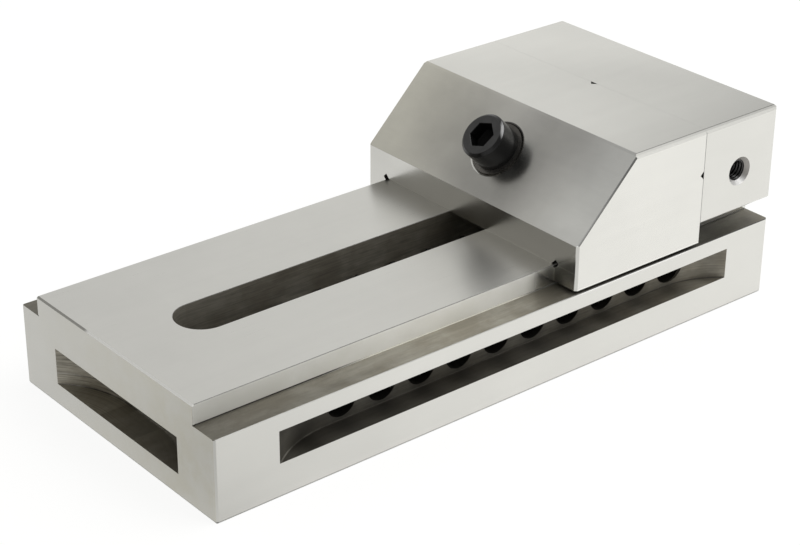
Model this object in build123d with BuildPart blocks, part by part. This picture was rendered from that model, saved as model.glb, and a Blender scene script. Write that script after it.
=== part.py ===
import math
import os

from build123d import *

# Precision grinding vise, in millimetres.
# X runs along the vise towards the fixed jaw, Y across it and Z up.
# The origin is the middle of the underside.
# The vise stands closed, with its cross nut lowered just clear of the notches.

# Body block with its rail, ledges and fixed jaw
body_length = 330.0
body_width = 150.0
overall_height = 100.0
ledge_height = 40.0
rail_height = 50.0
rail_width = 121.0
fixed_jaw_thickness = 49.0
fixed_jaw_lift = 11.6
rail_undercut_height = 0.6
rail_undercut_depth = 0.4

# Rail slot and the cavity under the deck
slot_width = 26.0
slot_front_setback = 34.0
slot_rear_setback = 3.0
barrel_relief_top = 41.0
cavity_width = 62.0
cavity_ceiling = 30.8
cavity_corner_radius = 8.0
cavity_front_margin = 2.0
cavity_rear_margin = 8.0

# Row of notches that the cross nut seats in
notch_diameter = 16.0
notch_centre_height = 26.0
notch_pitch = 22.2
notch_count = 10
notch_run_out = 2.0

# Clamping slots, cut by the rim of a disc
cutter_radius = 50.0
side_slot_depth = 12.0
side_slot_floor = 16.4
side_slot_top = 32.0
side_slot_front = 32.5
side_slot_rear = 28.0
end_slot_depth = 15.0
end_slot_floor = 11.0
end_slot_top = 29.0
end_slot_length = 96.0

# Threaded holes for a work stop, one in each side of the fixed jaw
stop_tap_diameter = 10.2
stop_mouth_diameter = 14.5
stop_depth = 24.0
stop_from_rear = 24.0
stop_height = 72.0

# Edge breaks
jaw_top_chamfer = 1.8
jaw_nose_chamfer = 1.2
slope_side_chamfer = 0.7
corner_chamfer = 1.1
rail_front_chamfer = 0.8
rail_side_chamfer = 0.3
overhang_chamfer = 0.8
ledge_chamfer = 0.3
foot_chamfer = 0.8
slot_rim_chamfer = 0.2
parting_chamfer = 0.25

# Movable jaw
jaw_length = 81.0
jaw_nose_height = 64.0
jaw_parting_gap = 0.05
skirt_lift = 1.5
slide_clearance = 0.02
corner_relief_width = 2.8
corner_relief_reach = 2.4
vee_height = 77.0
vee_width = 4.5

# Spherical seat in the slope, and the passage behind it
seat_radius = 22.0
seat_rim_diameter = 28.8
seat_rim_chamfer = 0.4
swing_limit = 5.0
passage_side_clearance = 0.7
passage_shoulder = 18.0
pocket_clearance = 0.5

# Clamping screw
screw_diameter = 14.0
screw_tip_reach = 4.8
screw_head_diameter = 23.3
screw_head_height = 14.0
screw_head_chamfer = 1.4
screw_point_chamfer = 1.5
socket_across_flats = 12.0
socket_depth = 7.0
socket_turn = 18.0
screw_pitch = 2.0

# Swivel washer
washer_diameter = 27.2
washer_bore_diameter = 15.0
washer_proud = 0.5
running_clearance = 0.05

# Spring, its washer and its retaining ring
spring_washer_diameter = 20.0
spring_washer_bore = 14.6
spring_washer_thickness = 1.2
spring_wire_width = 1.8
spring_wire_height = 1.4
spring_mean_diameter = 16.4
spring_length = 11.4
spring_half_turns = 4
spring_ground_depth = 0.4
ring_thickness = 1.0
ring_outer_diameter = 17.6
ring_groove_diameter = 13.4
ring_gap_width = 3.0
ring_lug_radius = 1.6
ring_lug_setback = 7.8
ring_lug_hole_diameter = 1.5

# Cross nut
nut_barrel_diameter = 25.0
nut_barrel_width = 24.8
nut_height = 17.0
nut_length = 60.0
trunnion_clearance = 0.2
trunnion_chamfer = 1.0
release_turns = 3.5

# Places that follow from the sizes above
front_x = -body_length / 2
rear_x = body_length / 2
side_y = body_width / 2
fixed_face_x = rear_x - fixed_jaw_thickness
fixed_jaw_underside = ledge_height + fixed_jaw_lift
jaw_face_x = fixed_face_x - jaw_parting_gap
jaw_nose_x = jaw_face_x - jaw_length
slope_run = overall_height - jaw_nose_height
skirt_bottom = ledge_height + skirt_lift
slide_z = rail_height + slide_clearance

# The screw stands square to the 45 degree slope, through the middle of it.
seat_x = jaw_nose_x + slope_run / 2
seat_z = jaw_nose_height + slope_run / 2
outward = Vector(-1, 0, 1).normalized()
uphill = Vector(1, 0, 1).normalized()
seat_centre = Vector(seat_x, 0, seat_z)
screw_axis = Axis(seat_centre, outward)
screw_plane = Plane(origin=seat_centre, x_dir=(0, 1, 0), z_dir=outward)
screw_section = Plane(origin=seat_centre, x_dir=uphill, z_dir=(0, -1, 0))
swivel_height = math.sqrt(seat_radius**2 - (seat_rim_diameter / 2) ** 2)
swivel_centre = seat_centre + outward * swivel_height

# Depths below the seat plane, measured along the screw
spring_washer_depth = passage_shoulder + slide_clearance
spring_top_depth = spring_washer_depth + spring_washer_thickness
spring_foot_depth = spring_top_depth + spring_length
ring_top_depth = spring_foot_depth + slide_clearance
ring_foot_depth = ring_top_depth + ring_thickness
nut_seated_depth = (seat_z - notch_centre_height) * math.sqrt(2)
release_travel = release_turns * screw_pitch
nut_depth = nut_seated_depth + release_travel
head_seat_depth = -washer_proud - 2 * slide_clearance
screw_length = nut_depth + nut_height / 2 + screw_tip_reach - head_seat_depth
first_notch_x = seat_x + seat_z - notch_centre_height
last_notch_x = first_notch_x - (notch_count - 1) * notch_pitch

# Lugs of the retaining ring
ring_lug_x = ring_gap_width / 2 + ring_lug_radius
ring_lug_reach = math.hypot(ring_lug_x, ring_lug_setback) + ring_lug_radius


def swing_offset(depth):
    """Sideways shift of the screw at its steepest, at a depth below the seat plane."""
    return (depth + swivel_height) * math.tan(math.radians(swing_limit))


def disc_slot(centre_x, centre_y, direction, mouth_length, depth):
    """Path of a disc cutter that leaves a slot of this mouth length and depth."""
    run_in = math.sqrt(cutter_radius**2 - (cutter_radius - depth) ** 2)
    travel = mouth_length - 2 * run_in
    with Locations((centre_x, centre_y)):
        SlotCenterToCenter(travel, 2 * cutter_radius, rotation=direction)


# Vise body: rail and ledges from one section, with the fixed jaw on top
with BuildPart() as vise_body:
    with BuildSketch(Plane.YZ.offset(front_x)):
        with Locations((0, ledge_height / 2)):
            Rectangle(body_width, ledge_height)
        with Locations((0, rail_height / 2)):
            Rectangle(rail_width, rail_height)
        with Locations(
            (-rail_width / 2, ledge_height + rail_undercut_height / 2),
            (rail_width / 2, ledge_height + rail_undercut_height / 2),
        ):
            Rectangle(2 * rail_undercut_depth, rail_undercut_height, mode=Mode.SUBTRACT)
    extrude(amount=body_length)

    rail_top = vise_body.faces().sort_by(Axis.Z)[-1]
    chamfer(rail_top.edges().filter_by(Axis.X), rail_side_chamfer)
    rail_top = vise_body.faces().sort_by(Axis.Z)[-1]
    chamfer(rail_top.edges().sort_by(Axis.X)[0], rail_front_chamfer)
    upper_ledge_edges = vise_body.edges().filter_by(Axis.X).filter_by(
        lambda edge: abs(edge.center().Z - ledge_height) < 0.01 and abs(edge.center().Y) > side_y - 0.01
    )
    chamfer(upper_ledge_edges, ledge_chamfer)

    # Fixed jaw, overhanging the ledges
    with BuildSketch(Plane.YZ.offset(fixed_face_x)):
        with Locations((0, (fixed_jaw_underside + overall_height) / 2)):
            Rectangle(body_width, overall_height - fixed_jaw_underside)
        with Locations((0, (ledge_height + fixed_jaw_underside) / 2)):
            Rectangle(rail_width, fixed_jaw_lift)
        with Locations(
            (-rail_width / 2, ledge_height + rail_undercut_height / 2),
            (rail_width / 2, ledge_height + rail_undercut_height / 2),
        ):
            Rectangle(2 * rail_undercut_depth, rail_undercut_height, mode=Mode.SUBTRACT)
    extrude(amount=fixed_jaw_thickness)

    jaw_top_edges = vise_body.edges().group_by(Axis.Z)[-1]
    chamfer(jaw_top_edges.filter_by(Axis.X), jaw_top_chamfer)
    chamfer(vise_body.edges().group_by(Axis.X)[-1].group_by(Axis.Z)[-1], corner_chamfer)
    overhang_edges = vise_body.edges().filter_by(Axis.X).filter_by(
        lambda edge: abs(edge.center().Z - fixed_jaw_underside) < 0.01 and abs(edge.center().Y) > side_y - 0.01
    )
    chamfer(overhang_edges, overhang_chamfer)
    fixed_face_edges = vise_body.edges().filter_by(Axis.Z).filter_by(
        lambda edge: abs(edge.center().X - fixed_face_x) < 0.01 and abs(edge.center().Y) > side_y - 0.01
    )
    chamfer(fixed_face_edges, parting_chamfer)

    # Upright corners of the block
    upright_edges = vise_body.edges().filter_by(Axis.Z).filter_by(
        lambda edge: abs(edge.center().Y) > side_y - 0.01 and edge.length > fixed_jaw_lift + 1
    )
    end_uprights = upright_edges.filter_by(lambda edge: abs(edge.center().X) > rear_x - 0.01)
    chamfer(end_uprights, corner_chamfer)
    chamfer(vise_body.edges().group_by(Axis.Z)[0], foot_chamfer)

    # Long round-ended slot through the deck
    slot_front = front_x + slot_front_setback
    slot_rear = fixed_face_x - slot_rear_setback
    with BuildSketch(Plane.XY.offset(rail_height)):
        with Locations(((slot_front + slot_rear) / 2, 0)):
            SlotOverall(slot_rear - slot_front, slot_width)
    extrude(amount=cavity_ceiling - rail_height, mode=Mode.SUBTRACT)
    with BuildSketch(Plane.XY.offset(rail_height)):
        with Locations(((slot_front + slot_rear) / 2, 0)):
            slot_length = slot_rear - slot_front
            SlotOverall(slot_length + 2 * slot_rim_chamfer, slot_width + 2 * slot_rim_chamfer)
    extrude(amount=-slot_rim_chamfer, taper=45, mode=Mode.SUBTRACT)

    # Cavity milled from below, and the deeper relief for the nut's barrel
    cavity_front = slot_front - cavity_front_margin
    cavity_rear = first_notch_x + nut_barrel_diameter / 2 + release_travel + cavity_rear_margin
    with BuildSketch(Plane.XY):
        with Locations(((cavity_front + cavity_rear) / 2, 0)):
            RectangleRounded(cavity_rear - cavity_front, cavity_width, cavity_corner_radius)
    extrude(amount=cavity_ceiling, mode=Mode.SUBTRACT)
    relief_front = slot_front + slot_width
    relief_rear = cavity_rear - foot_chamfer
    with BuildSketch(Plane.XY):
        with Locations(((relief_front + relief_rear) / 2, 0)):
            SlotOverall(relief_rear - relief_front, slot_width)
    extrude(amount=barrel_relief_top, mode=Mode.SUBTRACT)

    # Cross holes that run out into the two side slots: each is a pair of notches for the nut
    with BuildSketch(Plane.XZ):
        with Locations(((first_notch_x + last_notch_x) / 2, notch_centre_height)):
            with GridLocations(notch_pitch, 0, notch_count, 1):
                Circle(notch_diameter / 2)
    extrude(amount=side_y - side_slot_depth + notch_run_out, both=True, mode=Mode.SUBTRACT)

    # Clamping slots in the two sides
    side_slot_length = body_length - side_slot_front - side_slot_rear
    side_slot_x = (side_slot_front - side_slot_rear) / 2
    side_cutter_y = side_y - side_slot_depth + cutter_radius
    with BuildSketch(Plane.XY.offset(side_slot_floor)):
        disc_slot(side_slot_x, side_cutter_y, 0, side_slot_length, side_slot_depth)
        disc_slot(side_slot_x, -side_cutter_y, 0, side_slot_length, side_slot_depth)
    extrude(amount=side_slot_top - side_slot_floor, mode=Mode.SUBTRACT)

    # Clamping slots in the two ends
    end_cutter_x = rear_x - end_slot_depth + cutter_radius
    with BuildSketch(Plane.XY.offset(end_slot_floor)):
        disc_slot(end_cutter_x, 0, 90, end_slot_length, end_slot_depth)
        disc_slot(-end_cutter_x, 0, 90, end_slot_length, end_slot_depth)
    extrude(amount=end_slot_top - end_slot_floor, mode=Mode.SUBTRACT)

    # Threaded holes in the sides of the fixed jaw
    for side in (-1, 1):
        mouth = Plane(origin=(rear_x - stop_from_rear, side * side_y, stop_height), z_dir=(0, side, 0))
        with Locations(mouth):
            CounterSinkHole(stop_tap_diameter / 2, stop_mouth_diameter / 2, stop_depth, 90)
vise_body.part.label = "vise_body"

# Hollow for the spring: wider than the passage, with a roof curved about the swivel centre
pocket_width = 2 * (max(spring_washer_diameter / 2, ring_lug_reach) + pocket_clearance)
pocket_length = pocket_width + 2 * swing_offset(ring_foot_depth)
with BuildPart() as spring_pocket:
    with BuildSketch(screw_plane):
        SlotOverall(pocket_length, pocket_width, rotation=90)
    extrude(amount=-(seat_z - skirt_bottom) * math.sqrt(2))
    with BuildSketch(Plane(origin=swivel_centre, z_dir=(0, 1, 0))):
        Circle(swivel_height + passage_shoulder)
    extrude(amount=pocket_width, both=True, mode=Mode.SUBTRACT)

# Movable jaw: side profile, then the channel that straddles the rail
with BuildPart() as movable_jaw:
    with BuildSketch(Plane.XZ):
        with BuildLine():
            Polyline(
                (jaw_nose_x, skirt_bottom),
                (jaw_face_x, skirt_bottom),
                (jaw_face_x, overall_height),
                (jaw_nose_x + slope_run, overall_height),
                (jaw_nose_x, jaw_nose_height),
                close=True,
            )
        make_face()
    extrude(amount=side_y, both=True)

    outer_edges = movable_jaw.edges().filter_by(lambda edge: abs(edge.center().Y) > side_y - 0.01)
    slope_edges = outer_edges.filter_by(lambda edge: abs(abs(edge.tangent_at(0.5).X) - math.sqrt(0.5)) < 0.01)
    chamfer(slope_edges, slope_side_chamfer)
    outer_edges = movable_jaw.edges().filter_by(lambda edge: abs(edge.center().Y) > side_y - 0.01)
    nose_edges = outer_edges.filter_by(Axis.Z).group_by(Axis.X)[0]
    chamfer(nose_edges, jaw_nose_chamfer)
    top_edges = movable_jaw.edges().filter_by(Axis.X).group_by(Axis.Z)[-1]
    chamfer(top_edges, jaw_top_chamfer)
    chamfer(movable_jaw.edges().filter_by(Axis.Z).group_by(Axis.X)[-1], parting_chamfer)

    channel_width = rail_width + 2 * slide_clearance
    with BuildSketch(Plane.YZ.offset(jaw_nose_x)):
        with Locations((0, (skirt_bottom + slide_z) / 2)):
            Rectangle(channel_width, slide_z - skirt_bottom)
        for side in (-1, 1):
            with Locations((side * channel_width / 2, slide_z)):
                Rectangle(2 * corner_relief_reach, corner_relief_width, rotation=side * 45)
    extrude(amount=jaw_length, mode=Mode.SUBTRACT)

    # V grooves across and up the gripping face
    with BuildSketch(Plane.XZ):
        with Locations((jaw_face_x, vee_height)):
            Rectangle(vee_width / math.sqrt(2), vee_width / math.sqrt(2), rotation=45)
    extrude(amount=side_y, both=True, mode=Mode.SUBTRACT)
    with BuildSketch(Plane.XY.offset(skirt_bottom)):
        with Locations((jaw_face_x, 0)):
            Rectangle(vee_width / math.sqrt(2), vee_width / math.sqrt(2), rotation=45)
    extrude(amount=overall_height - skirt_bottom, mode=Mode.SUBTRACT)

    # Dish for the swivel washer, part of a sphere turned about the screw
    with BuildSketch(screw_section):
        with Locations((0, swivel_height)):
            Circle(seat_radius)
        Rectangle(seat_radius, 2 * seat_radius, align=(Align.MIN, Align.MAX), mode=Mode.INTERSECT)
    revolve(axis=screw_axis, mode=Mode.SUBTRACT)
    seat_rim = movable_jaw.edges().filter_by(GeomType.CIRCLE).filter_by(
        lambda edge: abs(edge.radius - seat_rim_diameter / 2) < 0.01
    )
    chamfer(seat_rim, seat_rim_chamfer)

    # Oblong passage that lets the screw swing, and the hollow below it
    passage_width = screw_diameter + 2 * passage_side_clearance
    passage_length = passage_width + 2 * swing_offset(passage_shoulder)
    with BuildSketch(screw_plane):
        SlotOverall(passage_length, passage_width, rotation=90)
    extrude(amount=-spring_foot_depth, mode=Mode.SUBTRACT)
    add(spring_pocket.part, mode=Mode.SUBTRACT)
movable_jaw.part.label = "movable_jaw"

# Clamping screw: chamfered socket head, plain round shank and pointed end
with BuildPart() as clamping_screw:
    with BuildSketch(screw_plane.offset(-head_seat_depth)):
        Circle(screw_head_diameter / 2)
    extrude(amount=screw_head_height)
    chamfer(clamping_screw.edges().sort_by(screw_axis)[-1], screw_head_chamfer)
    with BuildSketch(screw_plane.offset(-head_seat_depth)):
        Circle(screw_diameter / 2)
    extrude(amount=-screw_length)
    chamfer(clamping_screw.edges().sort_by(screw_axis)[0], screw_point_chamfer)
    with BuildSketch(screw_plane.offset(screw_head_height - head_seat_depth)):
        RegularPolygon(socket_across_flats / 2, 6, major_radius=False, rotation=socket_turn)
    extrude(amount=-socket_depth, mode=Mode.SUBTRACT)
    with BuildSketch(screw_plane.offset(-ring_foot_depth - slide_clearance)):
        Circle(screw_diameter / 2)
        Circle(ring_groove_diameter / 2, mode=Mode.SUBTRACT)
    extrude(amount=ring_thickness + 2 * slide_clearance, mode=Mode.SUBTRACT)
clamping_screw.part.label = "clamping_screw"

# Swivel washer: flat on top, part of a sphere below
with BuildPart() as swivel_washer:
    with BuildSketch(screw_section):
        with Locations((0, swivel_height)):
            Circle(seat_radius - running_clearance)
        with Locations((washer_bore_diameter / 2, washer_proud)):
            washer_wall = (washer_diameter - washer_bore_diameter) / 2
            Rectangle(washer_wall, seat_radius, align=(Align.MIN, Align.MAX), mode=Mode.INTERSECT)
    revolve(axis=screw_axis)
swivel_washer.part.label = "swivel_washer"

# Flat washer under the roof of the hollow
with BuildPart() as spring_washer:
    with BuildSketch(screw_plane.offset(-spring_washer_depth)):
        Circle(spring_washer_diameter / 2)
        Circle(spring_washer_bore / 2, mode=Mode.SUBTRACT)
    extrude(amount=-spring_washer_thickness)
spring_washer.part.label = "spring_washer"

# Compression spring of flat wire with ground ends: half turns, each tilted against the one before
coil_inset = spring_wire_height / 2 - spring_ground_depth
half_turn_rise = (spring_length - 2 * coil_inset) / spring_half_turns
with BuildPart() as screw_spring:
    for half_turn in range(spring_half_turns):
        side = 1 if half_turn % 2 == 0 else -1
        start_depth = spring_foot_depth - coil_inset - half_turn * half_turn_rise
        middle = seat_centre - outward * (start_depth - half_turn_rise / 2)
        tilted = outward * spring_mean_diameter + uphill * side * half_turn_rise
        with BuildSketch(screw_section):
            with Locations((side * spring_mean_diameter / 2, -start_depth)):
                Rectangle(spring_wire_width, spring_wire_height)
        revolve(axis=Axis(middle, tilted), revolution_arc=180)
    with BuildSketch(screw_plane.offset(-spring_top_depth)):
        Circle(spring_mean_diameter)
    extrude(amount=-spring_length, mode=Mode.INTERSECT)
screw_spring.part.label = "screw_spring"

# Retaining ring in the groove of the screw, open between its two lugs
with BuildPart() as retaining_ring:
    with BuildSketch(screw_plane.offset(-ring_foot_depth)):
        Circle(ring_outer_diameter / 2)
        with Locations((-ring_lug_x, -ring_lug_setback), (ring_lug_x, -ring_lug_setback)):
            Circle(ring_lug_radius)
        Circle(ring_groove_diameter / 2 + slide_clearance, mode=Mode.SUBTRACT)
        with Locations((0, -ring_outer_diameter / 2)):
            Rectangle(ring_gap_width, ring_outer_diameter, mode=Mode.SUBTRACT)
        with Locations((-ring_lug_x, -ring_lug_setback), (ring_lug_x, -ring_lug_setback)):
            Circle(ring_lug_hole_diameter / 2, mode=Mode.SUBTRACT)
    extrude(amount=ring_thickness)
retaining_ring.part.label = "retaining_ring"

# Cross nut: barrel with two flats, a trunnion on each side and the threaded bore
nut_centre = seat_centre - outward * nut_depth
nut_plane = Plane(origin=nut_centre, x_dir=screw_plane.x_dir, z_dir=outward)
with BuildPart() as cross_nut:
    with BuildSketch(Plane(origin=nut_centre, x_dir=outward, z_dir=(0, 1, 0))):
        Circle(nut_barrel_diameter / 2)
        Rectangle(nut_height, nut_barrel_diameter, mode=Mode.INTERSECT)
    extrude(amount=nut_barrel_width / 2, both=True)
    with BuildSketch(Plane(origin=nut_centre, x_dir=outward, z_dir=(0, 1, 0))):
        Circle(notch_diameter / 2 - trunnion_clearance)
    extrude(amount=nut_length / 2, both=True)
    chamfer(cross_nut.edges().group_by(Axis.Y)[0], trunnion_chamfer)
    chamfer(cross_nut.edges().group_by(Axis.Y)[-1], trunnion_chamfer)
    with Locations(nut_plane):
        Hole(screw_diameter / 2 + running_clearance)
cross_nut.part.label = "cross_nut"

os.makedirs("parts", exist_ok=True)
for piece in (
    vise_body,
    movable_jaw,
    clamping_screw,
    swivel_washer,
    spring_washer,
    screw_spring,
    retaining_ring,
    cross_nut,
):
    export_step(piece.part, f"parts/{piece.part.label}.step")
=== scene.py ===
import math

import bmesh
import bpy
from mathutils import Matrix, Vector


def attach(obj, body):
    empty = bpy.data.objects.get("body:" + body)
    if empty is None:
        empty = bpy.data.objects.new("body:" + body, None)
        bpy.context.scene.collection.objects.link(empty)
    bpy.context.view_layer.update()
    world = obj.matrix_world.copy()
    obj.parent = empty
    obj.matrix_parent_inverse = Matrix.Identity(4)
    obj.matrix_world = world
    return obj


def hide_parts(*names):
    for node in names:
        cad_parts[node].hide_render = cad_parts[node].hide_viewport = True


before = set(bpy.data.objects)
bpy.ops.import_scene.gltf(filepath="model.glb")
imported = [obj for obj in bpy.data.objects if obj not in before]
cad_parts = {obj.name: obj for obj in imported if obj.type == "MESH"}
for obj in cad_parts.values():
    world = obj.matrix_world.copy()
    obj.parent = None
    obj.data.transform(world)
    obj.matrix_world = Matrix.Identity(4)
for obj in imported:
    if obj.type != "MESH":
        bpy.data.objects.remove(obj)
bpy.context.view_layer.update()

MM = 0.001

# Places on the vise that the pieces and the finishes need, in millimetres
END = 165.0
SIDE = 75.0
UNDERSIDE_EDGE = 0.9
CORNER_BEVEL = 1.3
JAW_TOP = 100.0
JAW_HEM = 41.75
NOSE_FACE = 35.0
NOSE_TOP = 64.0
LEDGE_TOP = 40.0
RAIL_TOP = 50.0
RAIL_SIDE = 60.5
RAIL_SLOT = 13.0
RAIL_SLOT_START = -140.0
FIXED_FACE = 115.95
CUTTER_RADIUS = 50.0
SIDE_SLOT_MIDDLE = 2.25
SIDE_SLOT_FLAT = 102.25
SIDE_SLOT_ENDS = (-134.0, 139.0)
SIDE_SLOT_HEIGHTS = (16.0, 34.5)
SIDE_CUTTER_LINE = 113.0
END_SLOT_FLAT = 12.3
END_SLOT_REACH = 49.0
END_SLOT_HEIGHTS = (10.6, 29.4)
END_CUTTER_LINE = 200.0
NOTCH_PLACE = 108.95
NOTCH_PITCH = 22.2
NOTCH_REACH = 140.0
NOTCH_FLOOR = 32.0
STOP_PLACE = (141.0, 72.0)
STOP_FLOOR = 50.0
STOP_MOUTH_RADIUS = 7.4
STOP_THREAD_RADIUS = 5.35

# The screw's own directions: across the jaw, down the slope and square out of it
SEAT = Vector((52.95, 0.0, 82.0))
ACROSS = Vector((0.0, 1.0, 0.0))
DOWN_SLOPE = Vector((-1.0, 0.0, -1.0)).normalized()
OUTWARD = Vector((-1.0, 0.0, 1.0)).normalized()
# The side towards which the head's bevel gets a painted highlight and the washer painted shade
HIGHLIGHT_AND_SHADE_SIDE = Vector((0.433, -0.791, 0.433))

# The height of the screw's head above its seat, and the radii of its shank and of the dish around it
HEAD_TOP = 14.54
SHANK = 7.0
DISH_MOUTH = 14.35

# z less x, which is the same all over the slope
SLOPE_PLANE = 29.05

# Part of a normal along each of the two axes between which it points
DIAGONAL = 0.707

# Painted light and shade along the vise and across its end, and the floor's painted glow along a metre, as (place
# from 0 to 1, level)
LEDGE_SHADE_LEVELS = (
    (0.0, 0.46), (0.20, 0.66), (0.40, 1.0), (0.52, 0.85), (0.66, 0.55), (0.90, 0.20), (0.97, 0.42), (1.0, 0.8),
)
RAIL_SIDE_LIGHT_LEVELS = ((0.0, 0.80), (0.08, 0.88), (0.2, 0.98), (0.40, 1.06), (0.57, 0.95), (0.8, 0.78))
SIDE_SLOT_LIGHT_LEVELS = ((0.0, 0.50), (0.15, 0.28), (0.40, 0.36), (0.60, 0.42), (0.80, 0.75), (0.95, 1.05))
END_SLOT_LIGHT_LEVELS = ((0.0, 0.75), (0.30, 0.95), (0.55, 1.5), (0.90, 1.3))
FLOOR_GLOW_LEVELS = ((0.15, 0.70), (0.31, 0.75), (0.38, 0.99), (0.50, 1.16), (0.62, 1.20), (0.72, 1.22))

# The ground steel, and the tints of the milled slots, the ledges and the rail's sides, each from stain to light
STEEL = (0.687, 0.680, 0.643, 1.0)
BROWN = ((0.175, 0.158, 0.122, 1.0), (0.260, 0.243, 0.200, 1.0))
TAN = ((0.285, 0.262, 0.208, 1.0), (0.405, 0.385, 0.325, 1.0))
OLIVE = ((0.88, 0.875, 0.82, 1.0), (0.94, 0.935, 0.895, 1.0))


# Shader helpers

def add_node(tree, kind, inputs=None, **settings):
    """Adds a shader node. An input is a number, a colour or the output of another node."""
    made = tree.nodes.new(kind)
    for name, value in settings.items():
        setattr(made, name, value)
    for name, value in (inputs or {}).items():
        if isinstance(value, bpy.types.NodeSocket):
            tree.links.new(value, made.inputs[name])
        else:
            made.inputs[name].default_value = value
    return made


def do_math(tree, operation, first, second=0.0, third=0.0):
    """The output of one Math node."""
    made = add_node(tree, "ShaderNodeMath", {0: first, 1: second, 2: third}, operation=operation)
    return made.outputs[0]


def product(tree, *values):
    """All the values multiplied together."""
    result = values[0]
    for value in values[1:]:
        result = do_math(tree, "MULTIPLY", result, value)
    return result


def between(tree, value, low, high):
    """1 where a coordinate lies between two places given in millimetres, else 0."""
    return do_math(tree, "COMPARE", value, (low + high) / 2 * MM, (high - low) / 2 * MM)


def about_one(tree, noise, swing):
    """Turns noise around one half into a factor around one."""
    return do_math(tree, "MULTIPLY_ADD", do_math(tree, "SUBTRACT", noise, 0.5), swing, 1.0)


def lessened(tree, value, mask, loss):
    """A value that loses this share of itself where the mask is 1."""
    return do_math(tree, "MULTIPLY", value, do_math(tree, "MULTIPLY_ADD", mask, -loss, 1.0))


def blend_values(tree, factor, first, second):
    """Mixes two numbers."""
    made = add_node(tree, "ShaderNodeMix", {"Factor": factor, 2: first, 3: second}, data_type="FLOAT")
    return made.outputs[0]


def blend_colours(tree, factor, first, second, mode="MIX"):
    """Mixes two colours."""
    made = add_node(tree, "ShaderNodeMix", {"Factor": factor, 6: first, 7: second}, data_type="RGBA")
    made.blend_type = mode
    return made.outputs[2]


def multiplied(tree, first, second):
    """Two colours multiplied together."""
    return blend_colours(tree, 1.0, first, second, "MULTIPLY")


def ramp(tree, value, low, high):
    """A smooth rise from 0 at low to 1 at high. Places are in metres, as the shader has them."""
    made = add_node(
        tree,
        "ShaderNodeMapRange",
        {"Value": value, "From Min": low, "From Max": high},
        interpolation_type="SMOOTHSTEP",
    )
    return made.outputs[0]


def grain(tree, coordinate, stretch, detail=3.0, roughness=0.6):
    """Noise that is drawn out by a different scale along each axis."""
    scaled = add_node(tree, "ShaderNodeVectorMath", {0: coordinate, 1: stretch}, operation="MULTIPLY")
    made = add_node(
        tree,
        "ShaderNodeTexNoise",
        {"Vector": scaled.outputs[0], "Scale": 1.0, "Detail": detail, "Roughness": roughness},
    )
    return made.outputs[0]


def new_material(name):
    """An empty node material with its Principled shader."""
    material = bpy.data.materials.new(name)
    material.use_nodes = True
    tree = material.node_tree
    return material, tree, tree.nodes["Principled BSDF"]


def grey(level, warm=0.0):
    """A grey of this linear level, a little warmer if asked."""
    return (level * (1 + warm), level, level * (1 - 1.6 * warm), 1.0)


def as_colour(tree, value):
    """A grey colour from a number."""
    return add_node(tree, "ShaderNodeCombineColor", {0: value, 1: value, 2: value}).outputs[0]


def levels_along(tree, place, stops):
    """A level that changes along 0 to 1 through these (place, level) stops."""
    made = add_node(tree, "ShaderNodeValToRGB", {0: place})
    points = made.color_ramp.elements
    points[0].position, points[1].position = stops[0][0], stops[-1][0]
    for position, level in stops[1:-1]:
        points.new(position)
    top = max(level for position, level in stops)
    for point, (position, level) in zip(points, stops):
        point.color = grey(level / top)
    return do_math(tree, "MULTIPLY", made.outputs[0], top)


def distance_from(tree, where, centre):
    """Distance from a point given in millimetres."""
    made = add_node(tree, "ShaderNodeVectorMath", {0: where, 1: Vector(centre) * MM}, operation="DISTANCE")
    return made.outputs["Value"]


def leans(tree, component, amount, margin):
    """1 where this component of the normal has about this size, whatever its sign."""
    return do_math(tree, "COMPARE", do_math(tree, "ABSOLUTE", component), amount, margin)


def edge_wear(tree, radius):
    """1 on an outer or inner edge, 0 on the flat: how far the rounded normal leaves the true one."""
    rounded = add_node(tree, "ShaderNodeBevel", {"Radius": radius * MM}, samples=4)
    true = add_node(tree, "ShaderNodeNewGeometry").outputs["True Normal"]
    along = add_node(tree, "ShaderNodeVectorMath", {0: rounded.outputs[0], 1: true}, operation="DOT_PRODUCT")
    return ramp(tree, along.outputs["Value"], 0.995, 0.85)


# The body's finish

def milled_places(tree, x, y, z):
    """The milled and never ground places of the body: slots, cavity and notches."""
    corner = do_math(tree, "ADD", do_math(tree, "ABSOLUTE", x), do_math(tree, "ABSOLUTE", y))
    below = product(
        tree,
        between(tree, z, UNDERSIDE_EDGE, LEDGE_TOP - 0.35),
        between(tree, x, 0.1 - END, END - 0.1),
        between(tree, y, 0.1 - SIDE, SIDE - 0.1),
        between(tree, corner, 0.0, END + SIDE - CORNER_BEVEL),
    )
    rail_slot = product(
        tree,
        between(tree, z, UNDERSIDE_EDGE, RAIL_TOP - 0.2),
        between(tree, x, RAIL_SLOT_START, FIXED_FACE),
        between(tree, y, -RAIL_SLOT - 0.05, RAIL_SLOT + 0.05),
    )
    return do_math(tree, "MAXIMUM", below, rail_slot)


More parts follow.
